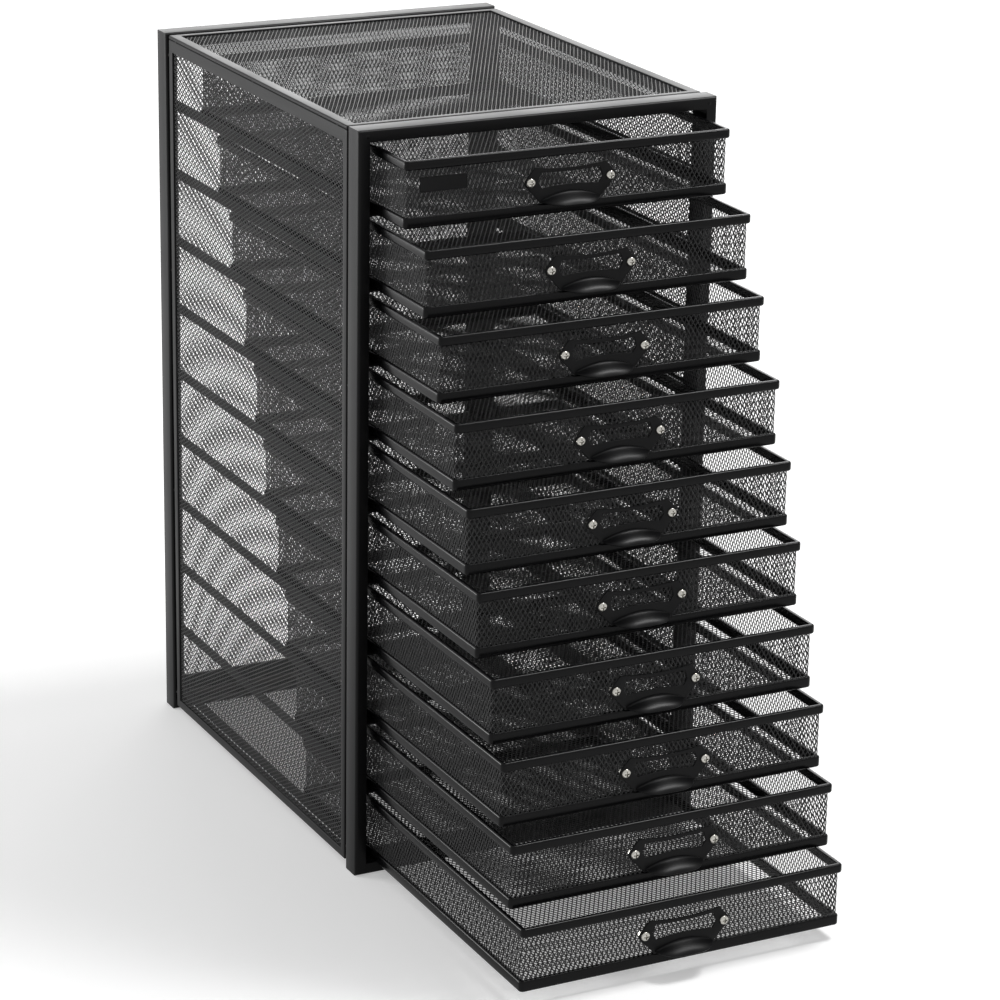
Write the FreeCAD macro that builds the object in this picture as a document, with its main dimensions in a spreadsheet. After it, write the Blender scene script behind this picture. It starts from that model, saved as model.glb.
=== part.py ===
"""A desktop cabinet of ten shallow wire-mesh paper drawers, in millimetres.

Frame: X to the right, Y from the front to the back, Z up. The origin is at the middle of
the underside of the front frame's bottom tube. Each drawer rests drawn out by its own
amount and slides along Y on a pair of angle runners.
"""
import FreeCAD, Part
import os
import re
import Sketcher

Vector = FreeCAD.Vector

DRAWERS = 10
TINY = 1e-4

# Driving sizes. An inset lies inside the thing named, and a level is a height above
# the underside of a drawer unless it says otherwise.
SIZES = {
    # Cabinet frames: two rings of rectangular steel tube, mitred at the corners.
    "cabinet_width": 254,
    "cabinet_height": 501,
    "cabinet_depth": 333,
    "tube_face": 8,
    "tube_depth": 16.5,
    "tube_wall": 1.2,
    "tube_edge_radius": 2,
    # Mesh panels: a hemmed strip along each edge, with the mesh held between the strips.
    "panel_thickness": 2.5,
    "panel_seam": 3,
    "panel_floor_gap": 4,
    "mesh_thickness": 0.6,
    "panel_mesh_bar": 8,
    "side_inset": 1,
    "side_end_strip": 6.4,
    "side_top_strip": 8.6,
    "side_bottom_strip": 6.2,
    "top_inset": 0.8,
    "top_side_strip": 7.4,
    "top_end_strip": 5.5,
    "base_strip": 6,
    "back_inset": 2,
    "back_strip": 5.2,
    "back_bottom_strip": 12,
    # Tack welds that carry the panels between the frames, and the corner rivets.
    "weld_radius": 1.1,
    "weld_end_level": 14,
    "weld_low_level": 170,
    "weld_high_level": 333,
    "weld_top_drop": 15,
    "weld_top_inset": 13,
    "weld_edge_inset": 33.5,
    "weld_bead": 0.3,
    "rivet_radius": 1.3,
    "rivet_height": 0.3,
    "rivet_inset": 6,
    "rivet_drop": 4,
    # Angle runners, one under each side of every drawer.
    "runner_metal": 0.8,
    "runner_height": 8,
    "runner_ledge": 8,
    "runner_front_inset": 3,
    "runner_end_gap": 0.5,
    "slide_clearance": 0.3,
    # Drawers: a top and a bottom rim of steel bar with a mesh basket between them.
    "drawer_top_gap": 3.5,
    "drawer_spacing": 5.6,
    "drawer_side_gap": 4.75,
    "drawer_rear_gap": 1.5,
    "drawer_proud": 2,
    "rim_bar": 3,
    "rim_corner_radius": 2.9,
    "top_rim_height": 6.1,
    "bottom_rim_height": 7.4,
    "bottom_rim_setback": 1.5,
    "bottom_rim_side_inset": 0.2,
    "wall_side_inset": 1.45,
    "wall_end_inset": 2,
    "floor_level": 1,
    "wall_mesh_bar": 3.6,
    "floor_mesh_bar": 6,
    # Pulls: a pressed plate with a label window and a half-moon finger cup.
    "plate_thickness": 1,
    "plate_rim_gap": 0.2,
    "plate_top_level": 30.8,
    "plate_top_dip": 1.9,
    "plate_top_width": 50,
    "plate_bottom_width": 41.4,
    "plate_corner_radius": 1.2,
    "ear_radius": 4,
    "ear_point": 5.4,
    "window_width": 45,
    "window_high_level": 27.2,
    "window_high_width": 41,
    "window_low_level": 17.2,
    "window_low_width": 40,
    "window_corner_radius": 1.5,
    "cup_width": 42,
    "cup_reach": 10.5,
    "cup_rise": 7.7,
    "cup_lip_level": 7,
    "cup_metal": 1,
    "cup_root": 0.5,
    # Pull screws, pan headed, with a nut behind the mesh.
    "screw_spacing": 56,
    "screw_level": 21.2,
    "screw_head_radius": 3.15,
    "screw_head_height": 2,
    "screw_head_round": 0.8,
    "screw_radius": 1.5,
    "screw_play": 0.2,
    "screw_end": 0.8,
    "thread_play": 0.05,
    "nut_radius": 3.2,
    "nut_height": 2.4,
    # Blank name plate on the top drawer.
    "badge_width": 32.5,
    "badge_height": 9.8,
    "badge_thickness": 0.8,
    "badge_side_inset": 10.5,
    "badge_drop": 4.7,
    # How far each drawer stands out of the front frame, from the top drawer down.
    "drawn_out_1": 40,
    "drawn_out_2": 69.5,
    "drawn_out_3": 90,
    "drawn_out_4": 113,
    "drawn_out_5": 131,
    "drawn_out_6": 146.5,
    "drawn_out_7": 167,
    "drawn_out_8": 182.5,
    "drawn_out_9": 197,
    "drawn_out_10": 213,
}

# Places worked out from those sizes, as formulas.
HALF_WIDTH = "(cabinet_width / 2)"
FRONT_FACE = "(-tube_depth / 2)"
REAR_FACE = "(cabinet_depth - tube_depth / 2)"
REAR_FRAME = "(cabinet_depth - tube_depth)"
OPENING_HALF = "(cabinet_width / 2 - tube_face)"
OPENING_TOP = "(cabinet_height - tube_face)"
PANEL_FRONT = "(tube_depth / 2 + panel_seam)"
PANEL_REAR = "(cabinet_depth - 3 * tube_depth / 2 - panel_seam)"
SIDE_OUTER = "(cabinet_width / 2 - side_inset)"
SIDE_INNER = "(cabinet_width / 2 - side_inset - panel_thickness)"
TOP_PANEL = "(cabinet_height - top_inset - panel_thickness)"
BACK_PANEL = "(cabinet_depth - tube_depth / 2 - back_inset - panel_thickness)"
LOWEST_DRAWER = "(tube_face + runner_metal + slide_clearance)"
DRAWER_HEIGHT = (f"(({OPENING_TOP} - drawer_top_gap - {LOWEST_DRAWER}"
                 f" - {DRAWERS - 1} * drawer_spacing) / {DRAWERS})")
DRAWER_HALF = f"({OPENING_HALF} - drawer_side_gap)"
DRAWER_LENGTH = f"({BACK_PANEL} - drawer_rear_gap - {FRONT_FACE} + drawer_proud)"
BASE_HALF = f"({DRAWER_HALF} - bottom_rim_side_inset)"
WALL_HALF = f"({DRAWER_HALF} - wall_side_inset)"
TOP_RIM_LEVEL = f"({DRAWER_HEIGHT} - top_rim_height)"
PLATE_FRONT = "(wall_end_inset - plate_thickness)"
PLATE_LEVEL = "(bottom_rim_height + plate_rim_gap)"

document = FreeCAD.newDocument("PaperDrawerCabinet")
sheet = document.addObject("Spreadsheet::Sheet", "Sizes")
for row, (size_name, size_value) in enumerate(SIZES.items(), 1):
    sheet.set(f"A{row}", size_name)
    sheet.set(f"B{row}", str(size_value))
    sheet.setAlias(f"B{row}", size_name)
document.recompute()

SIZE_WORD = re.compile(r"\b(" + "|".join(SIZES) + r")\b")
nodes = []


def bind(item, path, formula):
    """Tie a property of an object to a formula over the sheet's sizes."""
    item.setExpression(path, SIZE_WORD.sub(r"Sizes.\1", str(formula)))


def move(item, x=0, y=0, z=0):
    """Place an object by formulas."""
    for axis, formula in zip("xyz", (x, y, z)):
        bind(item, f"Placement.Base.{axis}", formula)
    return item


def box(label, x, y, z):
    """A block between a low and a high formula along each axis."""
    block = document.addObject("Part::Box", label)
    for side, (low, high) in zip(("Length", "Width", "Height"), (x, y, z)):
        bind(block, side, f"({high}) - ({low})")
    return move(block, x[0], y[0], z[0])


def cylinder(label, radius, length, x=0, y=0, z=0, axis=Vector(0, 0, 1)):
    """A round bar that runs from a point along an axis."""
    bar = document.addObject("Part::Cylinder", label)
    bar.Placement.Rotation = FreeCAD.Rotation(Vector(0, 0, 1), axis)
    bind(bar, "Radius", radius)
    bind(bar, "Height", length)
    return move(bar, x, y, z)


def fuse(label, pieces):
    """One solid out of pieces that touch or overlap."""
    joined = document.addObject("Part::MultiFuse", label)
    joined.Shapes = pieces
    return joined


def cut(label, base, tool):
    """A piece with a tool's shape taken out of it."""
    result = document.addObject("Part::Cut", label)
    result.Base = base
    result.Tool = tool
    return result


def group(label, pieces, x=0, y=0, z=0):
    """Separate solids kept side by side under one placement."""
    together = document.addObject("Part::Compound", label)
    together.Links = pieces
    return move(together, x, y, z)


def node(label, pieces, x=0, y=0, z=0):
    """A named sub-part of the cabinet, written to its own file."""
    nodes.append(group(label, pieces, x, y, z))


def turned(label, piece, y=0, z=0):
    """A copy of a piece turned half round, to face the back."""
    copy = group(label, [piece])
    copy.Placement.Rotation = FreeCAD.Rotation(Vector(0, 0, 1), 180)
    return move(copy, 0, y, z)


def rectangle(x, y):
    """The corners of a rectangle between low and high formulas."""
    return [(x[0], y[0]), (x[1], y[0]), (x[1], y[1]), (x[0], y[1])]


def outline(body, name, plane_role, corners):
    """A closed sketch on one of a body's own planes, with a size for every corner."""
    sketch = body.newObject("Sketcher::SketchObject", name)
    planes = [plane for plane in body.Origin.OriginFeatures if plane.Role == plane_role]
    sketch.AttachmentSupport = [(planes[0], "")]
    sketch.MapMode = "FlatFace"
    count = len(corners)
    starts = [Vector(number % 2, number, 0) for number in range(count)]
    for number in range(count):
        sketch.addGeometry(Part.LineSegment(starts[number], starts[(number + 1) % count]), False)
    for number, corner in enumerate(corners):
        sketch.addConstraint(Sketcher.Constraint("Coincident", number, 2, (number + 1) % count, 1))
        for direction, formula in zip(("DistanceX", "DistanceY"), corner):
            size = sketch.addConstraint(Sketcher.Constraint(direction, -1, 1, number, 1, 1.0))
            bind(sketch, f"Constraints[{size}]", formula)
    return sketch


def pad(body, sketch, length, symmetric=False):
    """Solid of a sketch."""
    feature = body.newObject("PartDesign::Pad", f"{sketch.Name}_pad")
    feature.Profile = sketch
    feature.SideType = "Symmetric" if symmetric else "One side"
    bind(feature, "Length", length)
    return feature


def pocket_through(body, sketch):
    """Cut a sketch right through a body, both ways."""
    feature = body.newObject("PartDesign::Pocket", f"{sketch.Name}_pocket")
    feature.Profile = sketch
    feature.Type = "ThroughAll"
    feature.SideType = "Symmetric"
    return feature


def round_edges(body, feature, radius, chosen):
    """Round the edges of a feature that a test picks."""
    document.recompute()
    names = [f"Edge{number}" for number, edge in enumerate(feature.Shape.Edges, 1) if chosen(edge)]
    rounding = body.newObject("PartDesign::Fillet", f"{feature.Name}_round")
    rounding.Base = (feature, names)
    bind(rounding, "Radius", radius)
    return rounding


def runs_along(edge, axis):
    """Whether a straight edge is parallel to an axis."""
    start, end = (vertex.Point for vertex in edge.Vertexes)
    return (end - start).cross(axis).Length < TINY


# ---------------------------------------------------------------- frames
def frame_tube(label, corners, outward, along, bore_plane, bore):
    """One mitred tube of a frame: outer long edges rounded, bored from end to end."""
    body = document.addObject("PartDesign::Body", label)
    face = outline(body, f"{label}_face", "XZ_Plane", corners)
    solid = pad(body, face, "tube_depth", symmetric=True)
    document.recompute()
    reach = max(vertex.Point.dot(outward) for vertex in solid.Shape.Vertexes)

    def outer(edge):
        return runs_along(edge, along) and edge.Vertexes[0].Point.dot(outward) > reach - TINY

    round_edges(body, solid, "tube_edge_radius", outer)
    pocket_through(body, outline(body, f"{label}_bore", bore_plane, bore))
    return body


def frame_ring():
    """The four tubes of a frame around the drawer opening, centred on Y = 0."""
    wide = HALF_WIDTH
    inner = OPENING_HALF
    bore_depth = ("tube_wall - tube_depth / 2", "tube_depth / 2 - tube_wall")
    up = Vector(0, 0, 1)
    across = Vector(1, 0, 0)
    tubes = []
    for name, side, sign in (("left", "-", -1), ("right", "", 1)):
        corners = [(f"{side}{wide}", "0"), (f"{side}{wide}", "cabinet_height"),
                   (f"{side}{inner}", OPENING_TOP), (f"{side}{inner}", "tube_face")]
        bore_sides = (f"{side}({wide} - tube_wall)", f"{side}({inner} + tube_wall)")
        tubes.append(frame_tube(f"{name}_post", corners, across * sign, up,
                                "XY_Plane", rectangle(bore_sides, bore_depth)))
    for name, edge, inside in (("bottom", "0", "tube_face"),
                               ("top", "cabinet_height", OPENING_TOP)):
        sign = 1 if name == "top" else -1
        corners = [(f"-{wide}", edge), (wide, edge), (inner, inside), (f"-{inner}", inside)]
        low = inside if name == "top" else edge
        bore_levels = (f"{low} + tube_wall", f"{low} + tube_face - tube_wall")
        tubes.append(frame_tube(f"{name}_rail", corners, up * sign, across,
                                "YZ_Plane", rectangle(bore_depth, bore_levels)))
    return tubes


ring = frame_ring()
node("front_frame", ring)
node("rear_frame", ring, y=REAR_FRAME)


# ---------------------------------------------------------------- mesh panels
def openwork(label, spans, thin, counts, bar, closed=()):
    """A sheet with a plain grid of openings that stands in for its much finer mesh.

    spans holds the sheet's low and high formula on each axis and thin is the axis of its
    thickness. counts holds the openings along the first and the second other axis, bar is
    the width left between them, and closed holds the numbers of the columns left whole.
    """
    pitch = {}
    opening = {thin: (f"({spans[thin][0]}) - mesh_thickness", f"({spans[thin][1]}) + mesh_thickness")}
    first, second = [axis for axis in "xyz" if axis != thin]
    for axis, count in zip((first, second), counts):
        low, high = spans[axis]
        pitch[axis] = f"((({high}) - ({low})) / {count})"
        opening[axis] = (f"({low}) + {bar} / 2", f"({low}) + {pitch[axis]} - {bar} / 2")
    hole = box(f"{label}_opening", opening["x"], opening["y"], opening["z"])
    row = group(f"{label}_row", [
        group(f"{label}_column_{number}", [hole], **{first: f"{number} * {pitch[first]}"})
        for number in range(counts[0]) if number not in closed])
    grid = group(f"{label}_grid", [
        group(f"{label}_row_{number}", [row], **{second: f"{number} * {pitch[second]}"})
        for number in range(counts[1])])
    return cut(label, box(f"{label}_blank", spans["x"], spans["y"], spans["z"]), grid)


def panel(name, spans, thin, strips, counts):
    """A mesh sheet inside four hemmed strips.

    spans holds the panel's low and high formula on each axis, thin is the axis of its
    thickness, strips holds the strip widths at the low and high end of the two others, and
    counts the openings along them.
    """
    low_thin, high_thin = spans[thin]
    middle = f"(({low_thin}) + ({high_thin})) / 2"
    mesh = dict(spans)
    mesh[thin] = (f"{middle} - mesh_thickness / 2", f"{middle} + mesh_thickness / 2")
    first, second = [axis for axis in "xyz" if axis != thin]
    for axis in (first, second):
        low, high = spans[axis]
        mesh[axis] = (f"({low}) + {strips[axis][0]}", f"({high}) - {strips[axis][1]}")
    pieces = []
    for end, span in (("low", (spans[first][0], mesh[first][0])),
                      ("high", (mesh[first][1], spans[first][1]))):
        strip = dict(spans)
        strip[first] = span
        pieces.append(box(f"{name}_{first}_{end}_strip", strip["x"], strip["y"], strip["z"]))
    for end, span in (("low", (spans[second][0], mesh[second][0])),
                      ("high", (mesh[second][1], spans[second][1]))):
        strip = dict(spans)
        strip[first] = mesh[first]
        strip[second] = span
        pieces.append(box(f"{name}_{second}_{end}_strip", strip["x"], strip["y"], strip["z"]))
    node(f"{name}_panel_frame", pieces)
    node(f"{name}_panel_mesh", [openwork(f"{name}_sheet", mesh, thin, counts, "panel_mesh_bar")])


SIDE_STRIPS = {"y": ("side_end_strip", "side_end_strip"),
               "z": ("side_bottom_strip", "side_top_strip")}
DEPTH_SPAN = (PANEL_FRONT, PANEL_REAR)
panel("left", {"x": (f"-{SIDE_OUTER}", f"-{SIDE_INNER}"), "y": DEPTH_SPAN,
               "z": ("panel_floor_gap", TOP_PANEL)}, "x", SIDE_STRIPS, (8, 12))
panel("right", {"x": (SIDE_INNER, SIDE_OUTER), "y": DEPTH_SPAN,
                "z": ("panel_floor_gap", TOP_PANEL)}, "x", SIDE_STRIPS, (8, 12))
panel("top", {"x": (f"-{SIDE_OUTER}", SIDE_OUTER), "y": DEPTH_SPAN,
              "z": (TOP_PANEL, f"{TOP_PANEL} + panel_thickness")}, "z",
      {"x": ("top_side_strip", "top_side_strip"), "y": ("top_end_strip", "top_end_strip")},
      (8, 8))
panel("bottom", {"x": (f"-{SIDE_INNER}", SIDE_INNER), "y": DEPTH_SPAN,
                 "z": ("panel_floor_gap", "panel_floor_gap + panel_thickness")}, "z",
      {"x": ("base_strip", "base_strip"), "y": ("base_strip", "base_strip")}, (8, 8))
panel("back", {"x": (f"-{OPENING_HALF}", OPENING_HALF),
               "y": (BACK_PANEL, f"{BACK_PANEL} + panel_thickness"),
               "z": ("tube_face", OPENING_TOP)}, "y",
      {"x": ("back_strip", "back_strip"), "z": ("back_bottom_strip", "back_strip")}, (8, 12))


# ---------------------------------------------------------------- welds and rivets
def seam_welds():
    """Tack welds across the seams of the frames and panels, and along the top edges."""
    side_middle = f"({SIDE_OUTER} - panel_thickness / 2)"
    top_middle = f"({TOP_PANEL} + panel_thickness / 2)"
    base_middle = "(panel_floor_gap + panel_thickness / 2)"
    corner = f"({SIDE_OUTER} - weld_top_inset)"
    levels = ("weld_end_level", "weld_low_level", "weld_high_level",
              "cabinet_height - weld_top_drop")
    spots = [(f"{side}{side_middle}", level) for side in ("-", "") for level in levels]
    spots += [(x, z) for z in (top_middle, base_middle) for x in (f"-{corner}", "0", corner)]
    welds = []
    for seam, seam_start in (("front", "tube_depth / 2"), ("rear", PANEL_REAR)):
        for number, (x, z) in enumerate(spots, 1):
            welds.append(cylinder(f"{seam}_weld_{number}", "weld_radius", "panel_seam",
                                  x, seam_start, z, Vector(0, 1, 0)))
    places = (f"{FRONT_FACE} + weld_edge_inset", f"({FRONT_FACE} + {REAR_FACE}) / 2",
              f"{REAR_FACE} - weld_edge_inset")
    for name, side, sign in (("left", "-", -1), ("right", "", 1)):
        for number, place in enumerate(places, 1):
            welds.append(cylinder(f"{name}_edge_weld_{number}", "weld_radius", "weld_bead",
                                  f"{side}{SIDE_OUTER}", place, TOP_PANEL, Vector(sign, 0, 0)))
    return welds


node("seam_welds", seam_welds())
node("corner_rivets", [
    cylinder(f"{name}_rivet", "rivet_radius", "rivet_height", f"{side}({HALF_WIDTH} - rivet_inset)",
             FRONT_FACE, "cabinet_height - rivet_drop", Vector(0, -1, 0))
    for name, side in (("left", "-"), ("right", ""))])


# ---------------------------------------------------------------- runners
def runner(label, side):
    """The ledge and the web of an angle runner, with the ledge's underside at Z = 0."""
    low_x = f"{OPENING_HALF} - runner_ledge"
    web_x = f"{OPENING_HALF} - runner_metal"
    length = (f"{FRONT_FACE} + runner_front_inset", f"{BACK_PANEL} - runner_end_gap")
    legs = []
    for name, inner, levels in (("ledge", low_x, ("0", "runner_metal")),
                                ("web", web_x, ("runner_metal", "runner_height"))):
        span = (f"{side}({inner})", f"{side}{OPENING_HALF}")
        ordered = span if side == "" else span[::-1]
        legs.append(box(f"{label}_{name}", ordered, length, levels))
    return group(label, legs)


def drawer_base(number):
    """Height of a drawer's underside above the floor."""
    below = DRAWERS - number
    return f"({LOWEST_DRAWER} + {below} * ({DRAWER_HEIGHT} + drawer_spacing))"


for side_name, side_sign in (("left", "-"), ("right", "")):
    rail = runner(f"{side_name}_runner", side_sign)
    node(f"{side_name}_runners", [
        group(f"{side_name}_runner_{number}", [rail], 0, 0,
              f"{drawer_base(number)} - slide_clearance - runner_metal")
        for number in range(1, DRAWERS + 1)])


# ---------------------------------------------------------------- drawers
# A drawer's own frame: X = 0 at its middle, Y = 0 at the top rim's front face and
# Z = 0 at its underside.
def end_bar(label, half_width, height):
    """The bar across a drawer's front, with its two front corners rounded."""
    body = document.addObject("PartDesign::Body", label)
    footprint = rectangle((f"-{half_width}", half_width), ("0", "rim_bar"))
    solid = pad(body, outline(body, f"{label}_plan", "XY_Plane", footprint), height)

    def front_corner(edge):
        return runs_along(edge, Vector(0, 0, 1)) and abs(edge.Vertexes[0].Point.y) < TINY

    round_edges(body, solid, "min(rim_corner_radius; 0.98 * rim_bar)", front_corner)
    return body


def rim(name, half_width, setback, level, height):
    """A closed rim of four bars: two rounded end bars and a straight bar down each side."""
    bar = end_bar(f"{name}_end_bar", half_width, height)
    rear = f"{DRAWER_LENGTH} - {setback}"
    pieces = [group(f"{name}_front_bar", [bar], 0, setback, level),
              turned(f"{name}_rear_bar", bar, rear, level)]
    for side_name, span in (("left", (f"-{half_width}", f"-({half_width} - rim_bar)")),
                            ("right", (f"{half_width} - rim_bar", half_width))):
        pieces.append(box(f"{name}_{side_name}_bar", span,
                          (f"{setback} + rim_bar", f"{rear} - rim_bar"),
                          (level, f"{level} + {height}")))
    return pieces


def basket():
    """The mesh sheet folded up into four walls, and the floor inside the bottom rim."""
    wall_span = ("bottom_rim_height", TOP_RIM_LEVEL)
    front = "wall_end_inset"
    rear = f"({DRAWER_LENGTH} - wall_end_inset)"
    width = (f"-{WALL_HALF}", WALL_HALF)
    # The columns behind the pull stay whole, to carry its screws.
    front_sheet = openwork("front_wall_sheet", {
        "x": width, "y": (front, f"{front} + mesh_thickness"), "z": wall_span},
        "y", (12, 2), "wall_mesh_bar", closed=(4, 5, 6, 7))
    holes = fuse("front_wall_holes", [
        cylinder(f"{name}_wall_hole", "screw_radius + screw_play", "3 * mesh_thickness",
                 f"{side}screw_spacing / 2", f"{front} - mesh_thickness", "screw_level",
                 Vector(0, 1, 0))
        for name, side in (("left", "-"), ("right", ""))])
    side_span = (f"{front} + mesh_thickness", f"{rear} - mesh_thickness")
    base_inner = f"({BASE_HALF} - rim_bar)"
    base_end = "(bottom_rim_setback + rim_bar)"
    sheets = [cut("front_wall", front_sheet, holes)]
    for name, span, thin, count, bar in (
            ("rear_wall", (width, (f"{rear} - mesh_thickness", rear), wall_span),
             "y", (12, 2), "wall_mesh_bar"),
            ("left_wall", ((f"-{WALL_HALF}", f"mesh_thickness - {WALL_HALF}"), side_span,
                           wall_span), "x", (12, 2), "wall_mesh_bar"),
            ("right_wall", ((f"{WALL_HALF} - mesh_thickness", WALL_HALF), side_span,
                            wall_span), "x", (12, 2), "wall_mesh_bar"),
            ("floor_sheet", ((f"-{base_inner}", base_inner),
                             (base_end, f"{DRAWER_LENGTH} - {base_end}"),
                             ("floor_level", "floor_level + mesh_thickness")),
             "z", (8, 12), "floor_mesh_bar")):
        sheets.append(openwork(name, dict(zip("xyz", span)), thin, count, bar))
    return sheets


def finger_cup():
    """A half-moon shell that bulges from the plate above the bottom rim."""
    shells = []
    for name, skin in (("outside", "0"), ("inside", "cup_metal")):
        bulge = document.addObject("Part::Ellipsoid", f"cup_{name}")
        # Turned so that its seam faces the plate, where the shell is cut away.
        bulge.Placement.Rotation = FreeCAD.Rotation(Vector(0, 0, 1), 90)
        bind(bulge, "Radius1", f"cup_rise - {skin}")
        bind(bulge, "Radius2", f"cup_reach - {skin}")
        bind(bulge, "Radius3", f"cup_width / 2 - {skin}")
        shells.append(move(bulge, 0, PLATE_FRONT, "cup_lip_level"))
    # The mouth slopes from the plate's lower edge down to the lip.
    cup_slope = f"({PLATE_LEVEL} - cup_lip_level) / cup_reach"
    keep = document.addObject("Part::Wedge", "cup_keep")
    limits = {
        "Xmin": "-cup_width", "X2min": "-cup_width", "Xmax": "cup_width", "X2max": "cup_width",
        "Ymin": "-2 * cup_reach", "Ymax": "cup_root",
        "Zmin": f"{PLATE_LEVEL} - 2 * cup_reach * {cup_slope}",
        "Z2min": f"{PLATE_LEVEL} + cup_root * {cup_slope}",
        "Zmax": "cup_lip_level + 2 * cup_rise", "Z2max": "cup_lip_level + 2 * cup_rise",
    }
    for side, formula in limits.items():
        bind(keep, side, formula)
    move(keep, 0, PLATE_FRONT, 0)
    cup = document.addObject("Part::Common", "finger_cup")
    cup.Base = cut("cup_shell", shells[0], shells[1])
    cup.Tool = keep
    return cup


def hexagon(low, low_width, level, width, high, high_width):
    """The corners of a plate shape that is widest at a level between its two edges."""
    return [(f"-{low_width} / 2", low), (f"{low_width} / 2", low), (f"{width} / 2", level),
            (f"{high_width} / 2", high), (f"-{high_width} / 2", high), (f"-{width} / 2", level)]


def pull():
    """The pressed plate with its window, ears and screw holes, and the finger cup."""
    across = Vector(0, 1, 0)
    body = document.addObject("PartDesign::Body", "pull_plate")
    plate = hexagon(PLATE_LEVEL, "plate_bottom_width",
                    "screw_level", "(screw_spacing + 2 * ear_point)",
                    "plate_top_level", "plate_top_width")
    blank = pad(body, outline(body, "plate_outline", "XZ_Plane", plate), "plate_thickness")
    document.recompute()
    reach = max(vertex.Point.x for vertex in blank.Shape.Vertexes)

    def ear(edge):
        return runs_along(edge, across) and abs(edge.Vertexes[0].Point.x) > reach - TINY

    rounded = round_edges(body, blank, "ear_radius", ear)
    corner_x = [vertex.Point.x for vertex in blank.Shape.Vertexes]
    corners = [x for x in corner_x if abs(x) < reach - TINY]

    def corner(edge):
        place = edge.Vertexes[0].Point.x
        return runs_along(edge, across) and any(abs(place - x) < TINY for x in corners)

    round_edges(body, rounded, "plate_corner_radius", corner)
    move(body, 0, "wall_end_inset", 0)

    window = document.addObject("PartDesign::Body", "window_tool")
    opening = hexagon("window_low_level", "window_low_width", "screw_level", "window_width",
                      "window_high_level", "window_high_width")
    window_block = pad(window, outline(window, "window_outline", "XZ_Plane", opening),
                       "4 * plate_thickness", symmetric=True)
    round_edges(window, window_block, "window_corner_radius",
                lambda edge: runs_along(edge, across))
    move(window, 0, "wall_end_inset", 0)

    tools = [window]
    for name, side in (("left", "-"), ("right", "")):
        tools.append(cylinder(f"{name}_plate_hole", "screw_radius + screw_play",
                              "2 * plate_thickness", f"{side}screw_spacing / 2",
                              f"{PLATE_FRONT} - plate_thickness / 2", "screw_level", across))
    # The top edge dips along a circle through both top corners.
    dip_radius = "((plate_top_width ^ 2 / 4 + plate_top_dip ^ 2) / (2 * plate_top_dip))"
    tools.append(cylinder("top_dip", dip_radius, "2 * plate_thickness", "0",
                          f"{PLATE_FRONT} - plate_thickness / 2",
                          f"plate_top_level - plate_top_dip + {dip_radius}", across))
    return cut("pull", fuse("pull_blank", [body, finger_cup()]), fuse("pull_tools", tools))


def screw():
    """A pan-head screw along Y with its head's underside at Y = 0, and its nut."""
    body = document.addObject("PartDesign::Body", "pull_screw")
    grip = "(plate_thickness + mesh_thickness)"
    end = f"({grip} + nut_height + screw_end)"
    profile = [("-screw_head_height", "0"),
               ("-screw_head_height", "screw_head_radius - screw_head_round"),
               ("screw_head_round - screw_head_height", "screw_head_radius"),
               ("0", "screw_head_radius"), ("0", "screw_radius"),
               (end, "screw_radius"), (end, "0")]
    turning = body.newObject("PartDesign::Revolution", "screw_turning")
    turning.Profile = outline(body, "screw_profile", "YZ_Plane", profile)
    turning.ReferenceAxis = (turning.Profile[0], ["H_Axis"])
    turning.Angle = 360
    blank = document.addObject("Part::Prism", "nut_blank")
    blank.Polygon = 6
    blank.Placement.Rotation = FreeCAD.Rotation(Vector(1, 0, 0), 90)
    bind(blank, "Circumradius", "nut_radius")
    bind(blank, "Height", "nut_height")
    move(blank, 0, f"{grip} + nut_height", 0)
    bore = cylinder("nut_bore", "screw_radius + thread_play", "2 * nut_height",
                    0, f"{grip} - nut_height / 2", 0, Vector(0, 1, 0))
    return [body, cut("pull_nut", blank, bore)]


rims = (rim("top_rim", DRAWER_HALF, "0", TOP_RIM_LEVEL, "top_rim_height")
        + rim("bottom_rim", BASE_HALF, "bottom_rim_setback", "0", "bottom_rim_height"))
walls = basket()
pull_piece = pull()
fastener = screw()
screws = [group(f"{name}_fastener", fastener, f"{side}screw_spacing / 2", PLATE_FRONT, "screw_level")
          for name, side in (("left", "-"), ("right", ""))]
for number in range(1, DRAWERS + 1):
    out = f"{FRONT_FACE} - drawn_out_{number}"
    base = drawer_base(number)
    for suffix, pieces in (("rims", rims), ("basket", walls), ("pull", [pull_piece]),
                           ("screws", screws)):
        node(f"drawer_{number}_{suffix}", pieces, 0, out, base)

badge_left = f"badge_side_inset - {DRAWER_HALF}"
badge_top = f"{TOP_RIM_LEVEL} - badge_drop"
badge = box("name_plate", (badge_left, f"{badge_left} + badge_width"),
            ("wall_end_inset - badge_thickness", "wall_end_inset"),
            (f"{badge_top} - badge_height", badge_top))
node("badge_plate", [badge], 0, f"{FRONT_FACE} - drawn_out_1", drawer_base(1))

# ---------------------------------------------------------------- checks and export
document.recompute()
for item in document.Objects:
    if {"Invalid", "Error"} & set(item.State):
        raise RuntimeError(f"{item.Label} failed: {item.State}")
for part in nodes:
    if part.Shape.isNull() or not part.Shape.isValid() or not part.Shape.Solids:
        raise RuntimeError(f"{part.Label} has no valid solid")
os.makedirs("parts", exist_ok=True)
for part in nodes:
    part.Shape.exportStep(f"parts/{part.Label}.step")
    bounds = part.Shape.BoundBox
    print(f"{part.Label}: {len(part.Shape.Solids)} solids, {part.Shape.Volume:.0f} mm3,"
          f" x {bounds.XMin:.1f} to {bounds.XMax:.1f}, y {bounds.YMin:.1f} to {bounds.YMax:.1f},"
          f" z {bounds.ZMin:.1f} to {bounds.ZMax:.1f}")
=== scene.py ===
"""The looks of a desktop cabinet of ten shallow wire-mesh paper drawers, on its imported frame."""
import math

import bmesh
import bpy
from mathutils import Euler, Matrix, Vector


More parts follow.
